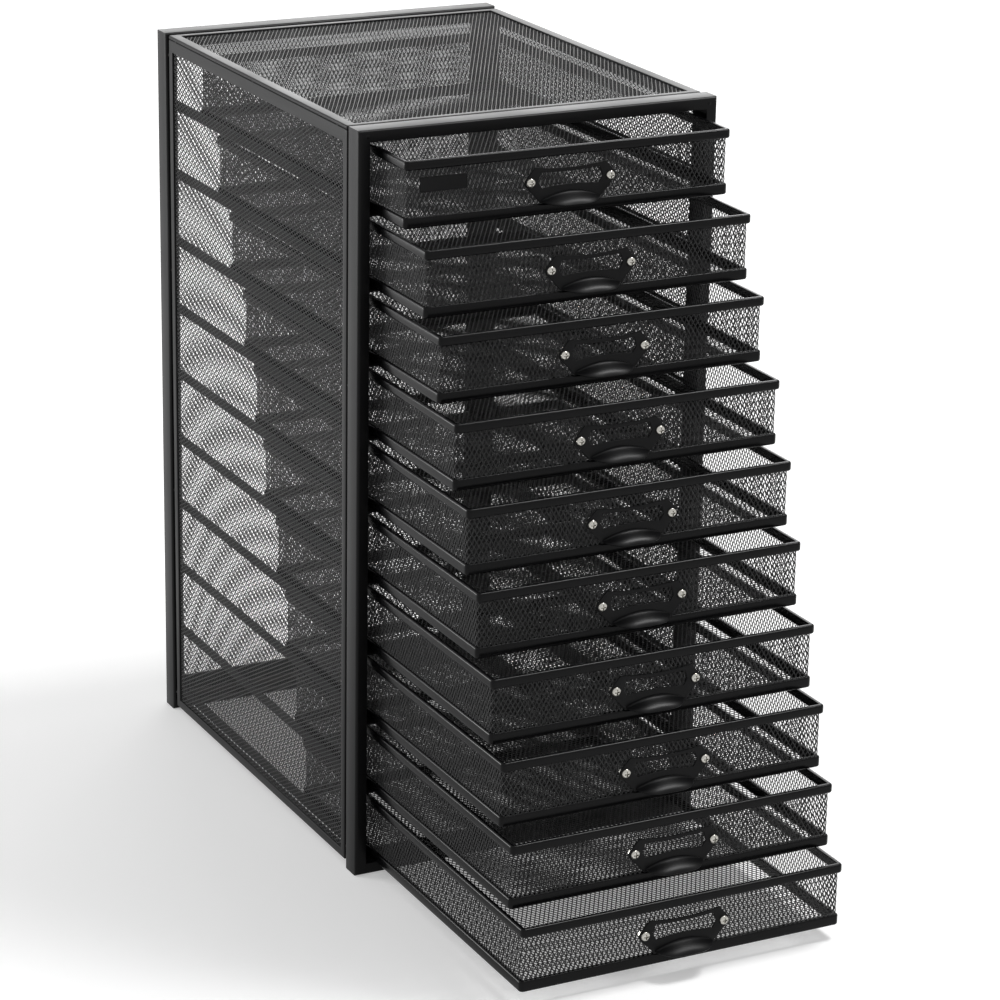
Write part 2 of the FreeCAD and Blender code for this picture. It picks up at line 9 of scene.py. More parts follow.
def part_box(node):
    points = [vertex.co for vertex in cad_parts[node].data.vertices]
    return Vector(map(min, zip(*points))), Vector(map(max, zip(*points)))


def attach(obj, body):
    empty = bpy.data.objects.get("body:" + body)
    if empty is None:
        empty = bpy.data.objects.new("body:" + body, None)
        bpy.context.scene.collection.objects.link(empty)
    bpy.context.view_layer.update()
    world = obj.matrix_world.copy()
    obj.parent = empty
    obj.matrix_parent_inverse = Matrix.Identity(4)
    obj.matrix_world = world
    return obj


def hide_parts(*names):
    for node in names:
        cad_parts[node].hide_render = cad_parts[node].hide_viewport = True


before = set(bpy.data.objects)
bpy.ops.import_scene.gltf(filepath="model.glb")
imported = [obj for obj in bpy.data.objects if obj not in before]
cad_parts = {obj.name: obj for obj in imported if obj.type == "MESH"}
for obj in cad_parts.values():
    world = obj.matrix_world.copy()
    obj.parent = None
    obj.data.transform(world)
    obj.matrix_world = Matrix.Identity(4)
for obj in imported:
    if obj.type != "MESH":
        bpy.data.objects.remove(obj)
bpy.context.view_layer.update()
scene = bpy.context.scene
scene.view_settings.view_transform = "Standard"
MM = 0.001


# ------------------------------------------------------------------ studio
# A pale floor under a white surround, with one soft box high behind the cabinet, one low
# on its left and a small one high over its right side, so that black paint shows its edges
# and faces. The soft boxes are not seen themselves.
def linear(colour):
    """An sRGB hex colour as the linear colour that a shader takes."""
    channels = [int(colour[place:place + 2], 16) / 255 for place in (1, 3, 5)]
    return [c / 12.92 if c <= 0.04045 else ((c + 0.055) / 1.055) ** 2.4 for c in channels] + [1]


def add(tree, kind, inputs=(), **settings):
    """A new node, with each input given a value or linked to another node's first output."""
    node = tree.nodes.new(kind)
    for name, value in settings.items():
        setattr(node, name, value)
    for key, value in dict(inputs).items():
        if isinstance(value, bpy.types.Node):
            value = value.outputs[0]
        if isinstance(value, bpy.types.NodeSocket):
            tree.links.new(value, node.inputs[key])
        else:
            node.inputs[key].default_value = value
    return node


camera = bpy.data.objects.new("camera", bpy.data.cameras.new("camera"))
camera.data.sensor_width = 36
camera.data.lens = 129.18
camera.data.clip_end = 20
camera.location = (-1.0308, -1.96055, 1.0072)
camera.rotation_euler = Euler([math.radians(turn) for turn in (70.9231, -0.9984, -26.9082)])
scene.collection.objects.link(camera)
scene.camera = camera

for name, spot, aim, size, power in (
        ("back_soft_box", (1.2, 2.5, 1.45), (0, 0.2, 0.5), 1.6, 21),
        ("left_soft_box", (-2.0, 1.6, 0.45), (-0.1, 0.15, 0.15), 1.0, 42),
        ("top_soft_box", (1.1, -0.2, 2.4), (0, 0, 0.25), 0.7, 42)):
    lamp = bpy.data.objects.new(name, bpy.data.lights.new(name, "AREA"))
    lamp.data.size = size
    lamp.data.energy = power
    lamp.location = spot
    lamp.rotation_euler = (Vector(aim) - Vector(spot)).to_track_quat("-Z", "Y").to_euler()
    lamp.visible_camera = False
    scene.collection.objects.link(lamp)

surround = bpy.data.worlds.new("surround")
surround.use_nodes = True
surround.node_tree.nodes.clear()
rays = add(surround.node_tree, "ShaderNodeLightPath")
seen = add(surround.node_tree, "ShaderNodeMath",
           {0: rays.outputs["Is Camera Ray"], 1: rays.outputs["Is Glossy Ray"]},
           operation="MAXIMUM")
seen = add(surround.node_tree, "ShaderNodeMath",
           {0: seen, 1: rays.outputs["Is Transmission Ray"]}, operation="MAXIMUM")
strength = add(surround.node_tree, "ShaderNodeMapRange", {"Value": seen, 3: 0.45, 4: 1.0})
light = add(surround.node_tree, "ShaderNodeBackground",
            {"Color": (1, 1, 1, 1), "Strength": strength})
add(surround.node_tree, "ShaderNodeOutputWorld", {"Surface": light})
scene.world = surround

floor_mesh = bpy.data.meshes.new("floor")
floor_mesh.from_pydata([(x, y, -0.0004) for x, y in ((-6, -6), (6, -6), (6, 6), (-6, 6))],
                       [], [(0, 1, 2, 3)])
floor = bpy.data.objects.new("floor", floor_mesh)
scene.collection.objects.link(floor)
paper = bpy.data.materials.new("matt_white_paper_sweep")
paper.use_nodes = True
paper.node_tree.nodes.clear()
rays = add(paper.node_tree, "ShaderNodeLightPath")
matt = add(paper.node_tree, "ShaderNodeBsdfDiffuse", {"Color": linear("#e4e4e4")})
shown = add(paper.node_tree, "ShaderNodeMath",
            {0: rays.outputs["Is Camera Ray"], 1: rays.outputs["Is Glossy Ray"]},
            operation="MAXIMUM")
shown = add(paper.node_tree, "ShaderNodeMath",
            {0: shown, 1: rays.outputs["Is Transmission Ray"]}, operation="MAXIMUM")
# The glow rises with the distance from the cabinet, so that the floor fades into the surround.
far = add(paper.node_tree, "ShaderNodeVectorMath",
          {0: add(paper.node_tree, "ShaderNodeTexCoord").outputs["Object"]}, operation="LENGTH")
glow = add(paper.node_tree, "ShaderNodeMapRange",
           {"Value": far.outputs["Value"], 1: 2.2, 2: 4.5, 3: 0.35, 4: 1.0},
           interpolation_type="SMOOTHSTEP")
lift = add(paper.node_tree, "ShaderNodeMath", {0: shown, 1: glow}, operation="MULTIPLY")
glow = add(paper.node_tree, "ShaderNodeEmission", {"Color": (1, 1, 1, 1), "Strength": lift})
sweep = add(paper.node_tree, "ShaderNodeAddShader", {0: matt, 1: glow})
add(paper.node_tree, "ShaderNodeOutputMaterial", {"Surface": sweep})
floor_mesh.materials.append(paper)


# ------------------------------------------------------------------ cabinet frames
# Two rings of rectangular steel tube, mitred, welded and ground flush at their corners,
# then powder coated black together with the whole cabinet.
def powder_coat(name, colour, rough, peel, shine=0.12):
    """Black polyester powder baked on steel: satin, with a fine orange-peel skin."""
    material = bpy.data.materials.new(name)
    material.use_nodes = True
    tree = material.node_tree
    tree.nodes.clear()
    place = add(tree, "ShaderNodeTexCoord").outputs["Object"]
    # Real orange peel is about 0.8 mm across; it is drawn at 2.2 mm so that it shows.
    skin = add(tree, "ShaderNodeTexNoise", {"Vector": place, "Scale": 1 / (2.2 * MM), "Detail": 2})
    cloud = add(tree, "ShaderNodeTexNoise", {"Vector": place, "Scale": 1 / (70 * MM), "Detail": 3})
    gloss = add(tree, "ShaderNodeMapRange",
                {"Value": cloud, 1: 0.3, 2: 0.7, 3: rough - 0.05, 4: rough + 0.05})
    tint = add(tree, "ShaderNodeMapRange", {"Value": cloud, 1: 0.3, 2: 0.7, 3: 0.85, 4: 1.2})
    shade = add(tree, "ShaderNodeVectorMath", {0: linear(colour)[:3], "Scale": tint},
                operation="SCALE")
    bump = add(tree, "ShaderNodeBump",
               {"Height": skin, "Distance": peel * MM, "Strength": 0.6})
    paint = add(tree, "ShaderNodeBsdfPrincipled",
                {"Base Color": shade, "Roughness": gloss, "Normal": bump, "IOR": 1.5,
                 "Specular IOR Level": shine})
    add(tree, "ShaderNodeOutputMaterial", {"Surface": paint})
    return material


def loop(low, high, radius, steps):
    """Points round a rectangle, with the same number of points at each rounded corner."""
    points = []
    for corner, (x, y) in enumerate(((high[0], high[1]), (low[0], high[1]),
                                     (low[0], low[1]), (high[0], low[1]))):
        centre = (x - radius if x == high[0] else x + radius,
                  y - radius if y == high[1] else y + radius)
        for step in range(steps + 1):
            angle = math.radians(90) * (corner + (step / steps if steps else 0.5))
            reach = radius if steps else radius * math.sqrt(2)
            points.append((centre[0] + reach * math.cos(angle),
                           centre[1] + reach * math.sin(angle)))
    return points


def ring(thin, outer, inner, span, edges, corner=0.0):
    """A closed ring of bar in mm: its rounded section carried round a rectangle.

    thin is the axis through the ring; outer and inner are (low, high) corners on the two
    other axes; edges are the rounding of the section's outer and inner corners.
    """
    turns = 6 if corner else 0
    inner_corner = max(0.0, corner - (inner[0][0] - outer[0][0]))
    rows = []
    for (low, high), sign, radius, bend, levels in (
            (outer, 1, edges[0], corner, span), (inner, -1, edges[1], inner_corner, span[::-1])):
        for leaving, level in enumerate(levels):
            way = 1 if level == span[0] else -1
            for step in range(5):
                angle = math.radians(90) * step / 4
                rise, run = 1 - math.sin(angle), 1 - math.cos(angle)
                inset, depth = (run, rise) if leaving else (rise, run)
                inset *= sign * radius
                rows.append([(point, level + way * depth * radius) for point in loop(
                    (low[0] + inset, low[1] + inset), (high[0] - inset, high[1] - inset),
                    max(0.0, bend - inset), turns)])
    build = bmesh.new()
    order = {"x": (1, 2, 0), "y": (0, 2, 1), "z": (0, 1, 2)}[thin]
    verts = []
    for row in rows:
        verts.append([])
        for (a, b), level in row:
            place = [0, 0, 0]
            for axis, value in zip(order, (a, b, level)):
                place[axis] = value * MM
            verts[-1].append(build.verts.new(place))
    for one, two in zip(verts, verts[1:] + verts[:1]):
        for place in range(len(one)):
            after = (place + 1) % len(one)
            build.faces.new((one[place], one[after], two[after], two[place]))
    return finished(build)


def finished(build, smooth=35):
    """A mesh from a bmesh: doubles merged, faces outwards, and only real edges sharp."""
    bmesh.ops.remove_doubles(build, verts=build.verts, dist=1e-7)
    bmesh.ops.dissolve_degenerate(build, edges=build.edges, dist=1e-7)
    bmesh.ops.recalc_face_normals(build, faces=build.faces)
    mesh = bpy.data.meshes.new("mesh")
    build.to_mesh(mesh)
    build.free()
    mesh.shade_smooth()
    mesh.set_sharp_from_angle(angle=math.radians(smooth))
    return mesh


def piece(name, mesh, material, body, slot, *nodes):
    """A piece of the cabinet that rides on a body and stands for nodes of the frame."""
    mesh.name = name
    if material:
        mesh.materials.clear()
        mesh.materials.append(material)
    made = bpy.data.objects.new(name, mesh)
    scene.collection.objects.link(made)
    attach(made, body)
    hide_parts(*nodes)
    return made


def limits(node):
    """The low and high corners of a node of the frame, in mm."""
    return [tuple(value / MM for value in corner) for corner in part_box(node)]


# Satin enough that a tube's rounded edge catches a soft line and its flat faces stay black.
frame_coat = powder_coat("satin_black_powder_coat", "#0a0a0b", 0.36, 0.02)
TUBE = 8
for name in ("front_frame", "rear_frame"):
    low, high = limits(name)
    tubes = ring("y", ((low[0], low[2]), (high[0], high[2])),
                 ((low[0] + TUBE, low[2] + TUBE), (high[0] - TUBE, high[2] - TUBE)),
                 (low[1], high[1]), (2, 0.7))
    piece(f"{name}_tubes", tubes, frame_coat, "cabinet", "cabinet_coat", name)


# ------------------------------------------------------------------ cabinet panels
# Five sheets of expanded steel mesh, each with its cut edges closed in a folded steel hem.
# The mesh is slit and stretched so that its openings are diamonds.
def lattice_tree():
    """Strands of expanded mesh on a rectangle: two families of slanting strips."""
    tree = bpy.data.node_groups.new("expanded_mesh", "GeometryNodeTree")
    for name, kind in (("Width", "Float"), ("Height", "Float"), ("Cell Width", "Float"),
                       ("Cell Height", "Float"), ("Phase", "Float"), ("Strand Width", "Float"),
                       ("Strand Thickness", "Float"), ("Material", "Material")):
        tree.interface.new_socket(name, in_out="INPUT", socket_type=f"NodeSocket{kind}")
    tree.interface.new_socket("Mesh", in_out="OUTPUT", socket_type="NodeSocketGeometry")
    given = add(tree, "NodeGroupInput").outputs
    calc = "ShaderNodeMath"
    slope = add(tree, calc, {0: given["Cell Width"], 1: given["Cell Height"]}, operation="DIVIDE")
    across = add(tree, calc, {0: given["Width"], 1: given["Cell Width"]}, operation="DIVIDE")
    along = add(tree, calc, {0: given["Height"], 1: given["Cell Height"]}, operation="DIVIDE")
    both = add(tree, calc, {0: across, 1: along}, operation="ADD")
    count = add(tree, calc, {0: both, 1: 2.0, 2: 6.0}, operation="MULTIPLY_ADD")
    index = add(tree, "GeometryNodeInputIndex")
    # Even strands slant one way and odd strands the other.
    odd = add(tree, calc, {0: index, 1: 2.0}, operation="MODULO")
    slant = add(tree, calc, {0: odd, 1: -2.0, 2: 1.0}, operation="MULTIPLY_ADD")
    half = add(tree, calc, {0: index, 1: 2.0}, operation="DIVIDE")
    order = add(tree, calc, {0: half}, operation="FLOOR")
    even = add(tree, calc, {0: 1.0, 1: odd}, operation="SUBTRACT")
    before = add(tree, calc, {0: even, 1: along}, operation="MULTIPLY")
    first = add(tree, calc, {0: given["Phase"], 1: before}, operation="SUBTRACT")
    first = add(tree, calc, {0: first}, operation="CEIL")
    place = add(tree, calc, {0: order, 1: first}, operation="ADD")
    place = add(tree, calc, {0: place, 1: given["Phase"]}, operation="SUBTRACT")
    foot = add(tree, calc, {0: place, 1: given["Cell Width"]}, operation="MULTIPLY")
    lean = add(tree, calc, {0: slant, 1: slope}, operation="MULTIPLY")
    # Where the strand crosses the two upright sides.
    left = add(tree, calc, {0: foot, 1: lean}, operation="DIVIDE")
    left = add(tree, calc, {0: left, 1: -1.0}, operation="MULTIPLY")
    right = add(tree, calc, {0: given["Width"], 1: foot}, operation="SUBTRACT")
    right = add(tree, calc, {0: right, 1: lean}, operation="DIVIDE")
    start = add(tree, calc, {0: left, 1: right}, operation="MINIMUM")
    start = add(tree, calc, {0: start, 1: 0.0}, operation="MAXIMUM")
    end = add(tree, calc, {0: left, 1: right}, operation="MAXIMUM")
    end = add(tree, calc, {0: end, 1: given["Height"]}, operation="MINIMUM")
    rise = add(tree, calc, {0: end, 1: start}, operation="SUBTRACT")
    kept = add(tree, "FunctionNodeCompare", {0: rise, 1: 0.0002}, operation="GREATER_THAN")
    middle = add(tree, calc, {0: start, 1: end}, operation="ADD")
    middle = add(tree, calc, {0: middle, 1: 0.5}, operation="MULTIPLY")
    side = add(tree, calc, {0: middle, 1: lean, 2: foot}, operation="MULTIPLY_ADD")
    # One family lies a little in front of the other, so no two faces are at one level.
    level = add(tree, calc, {0: slant, 1: given["Strand Thickness"]}, operation="MULTIPLY")
    level = add(tree, calc, {0: level, 1: 0.08}, operation="MULTIPLY")
    spot = add(tree, "ShaderNodeCombineXYZ", {0: side, 1: middle, 2: level})
    turn = add(tree, calc, {0: lean}, operation="ARCTANGENT")
    turn = add(tree, calc, {0: turn, 1: -1.0}, operation="MULTIPLY")
    turn = add(tree, "ShaderNodeCombineXYZ", {2: turn})
    stretch = add(tree, calc, {0: lean, 1: lean, 2: 1.0}, operation="MULTIPLY_ADD")
    stretch = add(tree, calc, {0: stretch}, operation="SQRT")
    length = add(tree, calc, {0: stretch, 1: rise}, operation="MULTIPLY")
    size = add(tree, "ShaderNodeCombineXYZ",
               {0: given["Strand Width"], 1: length, 2: given["Strand Thickness"]})
    points = add(tree, "GeometryNodePoints", {"Count": count, "Position": spot})
    # A strand is a six-sided bar along Y, shaded as if it were round.
    strand = add(tree, "GeometryNodeMeshCylinder",
                 {"Vertices": 6, "Side Segments": 1, "Radius": 0.5, "Depth": 1.0}, fill_type="NONE")
    strand = add(tree, "GeometryNodeTransform",
                 {"Geometry": strand, "Rotation": (math.radians(-90), 0, 0)})
    strands = add(tree, "GeometryNodeInstanceOnPoints",
                  {"Points": points, "Selection": kept, "Instance": strand,
                   "Rotation": turn, "Scale": size})
    real = add(tree, "GeometryNodeRealizeInstances", {0: strands})
    smooth = add(tree, "GeometryNodeSetShadeSmooth", {"Geometry": real})
    coated = add(tree, "GeometryNodeSetMaterial",
                 {"Geometry": smooth, "Material": given["Material"]})
    add(tree, "NodeGroupOutput", {"Mesh": coated})
    return tree


def grown(tree, inputs, source=None):
    """The plain mesh that a tree makes from its named inputs, on a carrier that is removed."""
    carrier = bpy.data.objects.new("carrier", source or bpy.data.meshes.new("carrier"))
    modifier = carrier.modifiers.new("grown", "NODES")
    modifier.node_group = tree
    for socket in tree.interface.items_tree:
        if socket.in_out == "INPUT" and socket.name in inputs:
            modifier[socket.identifier] = inputs[socket.name]
    scene.collection.objects.link(carrier)
    evaluated = carrier.evaluated_get(bpy.context.evaluated_depsgraph_get())
    mesh = bpy.data.meshes.new_from_object(evaluated)
    bpy.data.objects.remove(carrier)
    return mesh


def placed(mesh, origin, across, along):
    """The mesh moved so that its X and Y lie along two axes from an origin, all in mm."""
    across, along = Vector(across), Vector(along)
    turn = Matrix((across, along, across.cross(along))).transposed().to_4x4()
    mesh.transform(Matrix.Translation(Vector(origin) * MM) @ turn)
    return mesh


def joined(meshes):
    """One mesh out of several, each left where it is."""
    build = bmesh.new()
    for mesh in meshes:
        build.from_mesh(mesh)
    whole = bpy.data.meshes.new("mesh")
    build.to_mesh(whole)
    build.free()
    return whole


expanded_mesh = lattice_tree()
# How far the strands run on into a hem or a rim, which holds them.
BITE = 0.6


def lattice(width, height, cell, phase, material, strand=(0.64, 0.5)):
    """Expanded mesh on a rectangle in mm, from its lower left corner, at X and Y."""
    return grown(expanded_mesh, {
        "Width": width * MM, "Height": height * MM, "Cell Width": cell[0] * MM,
        "Cell Height": cell[1] * MM, "Phase": phase, "Strand Width": strand[0] * MM,
        "Strand Thickness": strand[1] * MM, "Material": material})


# Painted light: a lit copy of the frame's black coat, its base a lighter black than the frame's,
# with a duller, stronger sheen than the frame's, which makes the strands read grey from above.
lit_mesh_coat = powder_coat("lightened_black_powder_coat_as_painted_light", "#161617", 0.48, 0.01, 0.32)
for name, thin, across, along, cell in (
        ("left", 0, 2, 1, (2.97, 5.65)), ("right", 0, 2, 1, (2.97, 5.65)),
        ("top", 2, 0, 1, (2.92, 5.43)), ("bottom", 2, 0, 1, (2.92, 5.43)),
        ("back", 1, 0, 2, (2.97, 5.65))):
    low, high = limits(f"{name}_panel_frame")
    inner_low, inner_high = limits(f"{name}_panel_mesh")
    flat = [axis for axis in range(3) if axis != thin]
    outer = [[corner[axis] for axis in flat] for corner in (low, high)]
    inner = [[corner[axis] for axis in flat] for corner in (inner_low, inner_high)]
    hem = ring("xyz"[thin], outer, inner, (low[thin], high[thin]), (0.9, 0.6), 1.2)
    piece(f"{name}_panel_hem", hem, frame_coat, "cabinet", "cabinet_coat", f"{name}_panel_frame")
    sheet = lattice(inner_high[across] - inner_low[across] + 2 * BITE,
                    inner_high[along] - inner_low[along] + 2 * BITE, cell, 0.37, lit_mesh_coat)
    origin = [value - BITE for value in inner_low]
    origin[thin] = (inner_low[thin] + inner_high[thin]) / 2
    unit = Matrix.Identity(3)
    placed(sheet, origin, unit[across], unit[along])
    piece(f"{name}_panel_expanded_mesh", sheet, None, "cabinet", "panel_mesh",
          f"{name}_panel_mesh")


# ------------------------------------------------------------------ seam welds and rivets
# Short tack welds that hold the panels in the frames, left as small uneven beads under
# the coat, and a domed rivet at each upper corner of the front frame.
def bead_tree():
    """A slightly uneven bead on every point of a mesh."""
    tree = bpy.data.node_groups.new("weld_beads", "GeometryNodeTree")
    for name, kind in (("Points", "Geometry"), ("Size", "Vector"), ("Unevenness", "Float"),
                       ("Seed", "Int"), ("Material", "Material")):
        tree.interface.new_socket(name, in_out="INPUT", socket_type=f"NodeSocket{kind}")
    tree.interface.new_socket("Mesh", in_out="OUTPUT", socket_type="NodeSocketGeometry")
    given = add(tree, "NodeGroupInput").outputs
    ball = add(tree, "GeometryNodeMeshIcoSphere", {"Radius": 1.0, "Subdivisions": 3})
    least = add(tree, "ShaderNodeMath", {0: 1.0, 1: given["Unevenness"]}, operation="SUBTRACT")
    share = add(tree, "FunctionNodeRandomValue",
                {2: least, 3: 1.0, "Seed": given["Seed"]}, data_type="FLOAT")
    size = add(tree, "ShaderNodeVectorMath",
               {0: given["Size"], "Scale": share.outputs[1]}, operation="SCALE")
    beads = add(tree, "GeometryNodeInstanceOnPoints",
                {"Points": given["Points"], "Instance": ball, "Scale": size})
    real = add(tree, "GeometryNodeRealizeInstances", {0: beads})
    smooth = add(tree, "GeometryNodeSetShadeSmooth", {"Geometry": real})
    coated = add(tree, "GeometryNodeSetMaterial",
                 {"Geometry": smooth, "Material": given["Material"]})
    add(tree, "NodeGroupOutput", {"Mesh": coated})
    return tree


def islands(node):
    """The boxes, in mm, round the separate solids of a node of the frame."""
    build = bmesh.new()
    build.from_mesh(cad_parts[node].data)
    bmesh.ops.remove_doubles(build, verts=build.verts, dist=1e-6)
    left = set(build.verts)
    boxes = []
    while left:
        group = {left.pop()}
        edge = set(group)
        while edge:
            edge = {other for vert in edge for link in vert.link_edges
                    for other in link.verts} & left
            left -= edge
            group |= edge
        boxes.append([[pick(vert.co[axis] for vert in group) / MM for axis in range(3)]
                      for pick in (min, max)])
    build.free()
    return sorted(boxes)


weld_beads = bead_tree()
beads = []
for across in (0, 1):
    # Beads on the frames' seams run across them; those on the top edges lie along them.
    spots = [[(a + b) / 2 * MM for a, b in zip(low, high)] for low, high in islands("seam_welds")
             if (high[0] - low[0] < 1) == bool(across)]
    spots_mesh = bpy.data.meshes.new("spots")
    spots_mesh.from_pydata(spots, [], [])
    size = (0.15, 1.1, 0.8) if across else (1.1, 1.5, 1.1)
    beads.append(grown(weld_beads, {
        "Size": [value * MM for value in size], "Unevenness": 0.25, "Seed": 4,
        "Material": frame_coat}, spots_mesh))
piece("seam_weld_beads", joined(beads), frame_coat, "cabinet", "cabinet_coat", "seam_welds")


def lathe(profile, axis, spot, sides=32):
    """A closed turned shape: a profile of (radius, height) from pole to pole, in mm."""
    turn = Vector((0, 0, 1)).rotation_difference(Vector(axis)).to_matrix()
    build = bmesh.new()
    rows = []
    for radius, height in profile:
        row = []
        for side in range(sides if radius else 1):
            angle = 2 * math.pi * side / sides
            point = Vector((radius * math.cos(angle), radius * math.sin(angle), height))
            row.append(build.verts.new((turn @ point + Vector(spot)) * MM))
        rows.append(row)
    for one, two in zip(rows, rows[1:]):
        for side in range(sides):
            after = (side + 1) % sides
            corners = [one[side % len(one)], one[after % len(one)],
                       two[after % len(two)], two[side % len(two)]]
            build.faces.new(list(dict.fromkeys(corners)))
    return finished(build)


domes = []
for low, high in islands("corner_rivets"):
    centre = [(a + b) / 2 for a, b in zip(low, high)]
    centre[1] = high[1]
    domes.append(lathe([(0, 0.3), (0.4, 0.28), (0.8, 0.2), (1.1, 0.1), (1.3, 0), (0, 0)],
                       (0, -1, 0), centre, 24))
piece("corner_rivet_heads", joined(domes), frame_coat, "cabinet", "cabinet_coat", "corner_rivets")


# ------------------------------------------------------------------ runners
# Twenty angles of thin folded steel, spot welded inside the posts, one pair to a drawer.
def row_tree():
    """Copies of the carrier's own mesh, evenly spaced along a line."""
    tree = bpy.data.node_groups.new("row_of_copies", "GeometryNodeTree")
    for name, kind in (("Piece", "Geometry"), ("Count", "Int"), ("Start", "Vector"),
                       ("Step", "Vector")):
        tree.interface.new_socket(name, in_out="INPUT", socket_type=f"NodeSocket{kind}")
    tree.interface.new_socket("Material", in_out="INPUT", socket_type="NodeSocketMaterial")
    tree.interface.new_socket("Mesh", in_out="OUTPUT", socket_type="NodeSocketGeometry")
    given = add(tree, "NodeGroupInput").outputs
    line = add(tree, "GeometryNodeMeshLine",
               {"Count": given["Count"], "Start Location": given["Start"],
                "Offset": given["Step"]})
    copies = add(tree, "GeometryNodeInstanceOnPoints",
                 {"Points": line, "Instance": given["Piece"]})
    real = add(tree, "GeometryNodeRealizeInstances", {0: copies})
    coated = add(tree, "GeometryNodeSetMaterial", {"Geometry": real, "Material": given["Material"]})
    add(tree, "NodeGroupOutput", {"Mesh": coated})
    return tree


def bar(outline, span):
    """A bar along Y in mm with an outline of (x, z) points."""
    build = bmesh.new()
    ends = [[build.verts.new((x * MM, y * MM, z * MM)) for x, z in outline] for y in span]
    for end in ends:
        build.faces.new(end)
    for place in range(len(outline)):
        after = (place + 1) % len(outline)
        build.faces.new((ends[0][place], ends[0][after], ends[1][after], ends[1][place]))
    return finished(build)


# Painted shade: the runners take a dimmer copy of the frame's black coat, with less shine, standing
# in for the shade inside the cabinet, so the runners are flat and hardly catch the light.
shaded_runner_coat = powder_coat("dimmed_black_powder_coat_as_painted_shade", "#0a0a0b", 0.5, 0.01, 0.06)
row_of_copies = row_tree()
low, high = limits("left_runners")
METAL, LEG, BEND = 0.8, 8, 1.6
bend = [(math.cos(math.radians(turn)), math.sin(math.radians(turn)))
        for turn in range(180, 271, 15)]
angle = [(LEG, METAL), (LEG, 0)]
angle += [(BEND + BEND * x, BEND + BEND * z) for x, z in reversed(bend)]
angle += [(0, LEG), (METAL, LEG)]
angle += [(BEND + (BEND - METAL) * x, BEND + (BEND - METAL) * z) for x, z in bend]
pitch = (high[2] - low[2] - LEG) / 9
for name, sign in (("left", 1), ("right", -1)):
    low, high = limits(f"{name}_runners")
    wall = low[0] if sign > 0 else high[0]
    strip = bar([(wall + sign * x, z) for x, z in angle], (low[1], high[1]))
    rails = grown(row_of_copies, {"Count": 10, "Start": (0, 0, low[2] * MM),
                                  "Step": (0, 0, pitch * MM), "Material": shaded_runner_coat}, strip)
    piece(f"{name}_runner_angles", rails, None, "cabinet", "cabinet_coat", f"{name}_runners")


# ------------------------------------------------------------------ drawer rims
# Each drawer has a top and a bottom rim of folded steel strip, bent round the corners in
# one length and clamped over the edges of the mesh.
DRAWERS = range(1, 11)
BAR = 3
drawer_low, drawer_high = limits("drawer_1_rims")
HALF, LENGTH, HEIGHT = drawer_high[0], drawer_high[1] - drawer_low[1], 43.0
TOP_RIM, BASE_RIM = 36.9, 7.4


def drawers(suffix, mesh, material, slot, node):
    """A copy of a drawer's piece for each of the ten drawers, from the drawer's own origin."""
    for number in DRAWERS:
        low = limits(f"drawer_{number}_rims")[0]
        copy = mesh.copy()
        copy.transform(Matrix.Translation(Vector((0, low[1], low[2])) * MM))
        piece(f"drawer_{number}_{suffix}", copy, material, f"drawer_{number}", slot,
              f"drawer_{number}_{node}")


# A smooth coat on a folded edge: black faces with a thin bright line along the fold.
rim_coat = powder_coat("satin_black_powder_coat_on_strip", "#070708", 0.22, 0.012, 0.12)
CORNER, FOLD, SETBACK = 2.9, (1.4, 0.5), 1.5
base_half = HALF - 0.2
rims = joined([
    ring("z", ((-HALF, 0), (HALF, LENGTH)), ((BAR - HALF, BAR), (HALF - BAR, LENGTH - BAR)),
         (TOP_RIM, HEIGHT), FOLD, CORNER),
    ring("z", ((-base_half, SETBACK), (base_half, LENGTH - SETBACK)),
         ((BAR - base_half, SETBACK + BAR), (base_half - BAR, LENGTH - SETBACK - BAR)),
         (0, BASE_RIM), FOLD, CORNER)])
drawers("steel_rims", rims, rim_coat, "rim_coat", "rims")


# ------------------------------------------------------------------ drawer baskets
# One sheet of expanded mesh, its diamonds standing upright, folded up into four walls
# with a small radius at the corners; a second sheet lies flat as the floor.
# The basket strands take the same lit copy of the coat, whose lighter black is painted light.
CELL = (3.27, 5.5)
SIDE_INSET, END_INSET, FLOOR_LEVEL = 1.75, 2.3, 1.3
wall_path = loop((-HALF + SIDE_INSET, END_INSET), (HALF - SIDE_INSET, LENGTH - END_INSET), 2.4, 3)
sheets = []
run = 0.0
for start, end in zip(wall_path, wall_path[1:] + wall_path[:1]):
    step = Vector(end) - Vector(start)
    wall = lattice(step.length, TOP_RIM - BASE_RIM + 2 * BITE, CELL, run / CELL[0], lit_mesh_coat,
                   (0.74, 0.5))
    sheets.append(placed(wall, (*start, BASE_RIM - BITE), (*step.normalized(), 0), (0, 0, 1)))
    run += step.length
floor_low = (BAR - base_half, SETBACK + BAR)
floor_high = (base_half - BAR, LENGTH - SETBACK - BAR)
tray = lattice(floor_high[0] - floor_low[0] + 2 * BITE, floor_high[1] - floor_low[1] + 2 * BITE,
               CELL, 0.2, lit_mesh_coat, (0.7, 0.5))
sheets.append(placed(tray, (floor_low[0] - BITE, floor_low[1] - BITE, FLOOR_LEVEL),
                     (1, 0, 0), (0, 1, 0)))
drawers("mesh_basket", joined(sheets), lit_mesh_coat, "drawer_mesh", "basket")


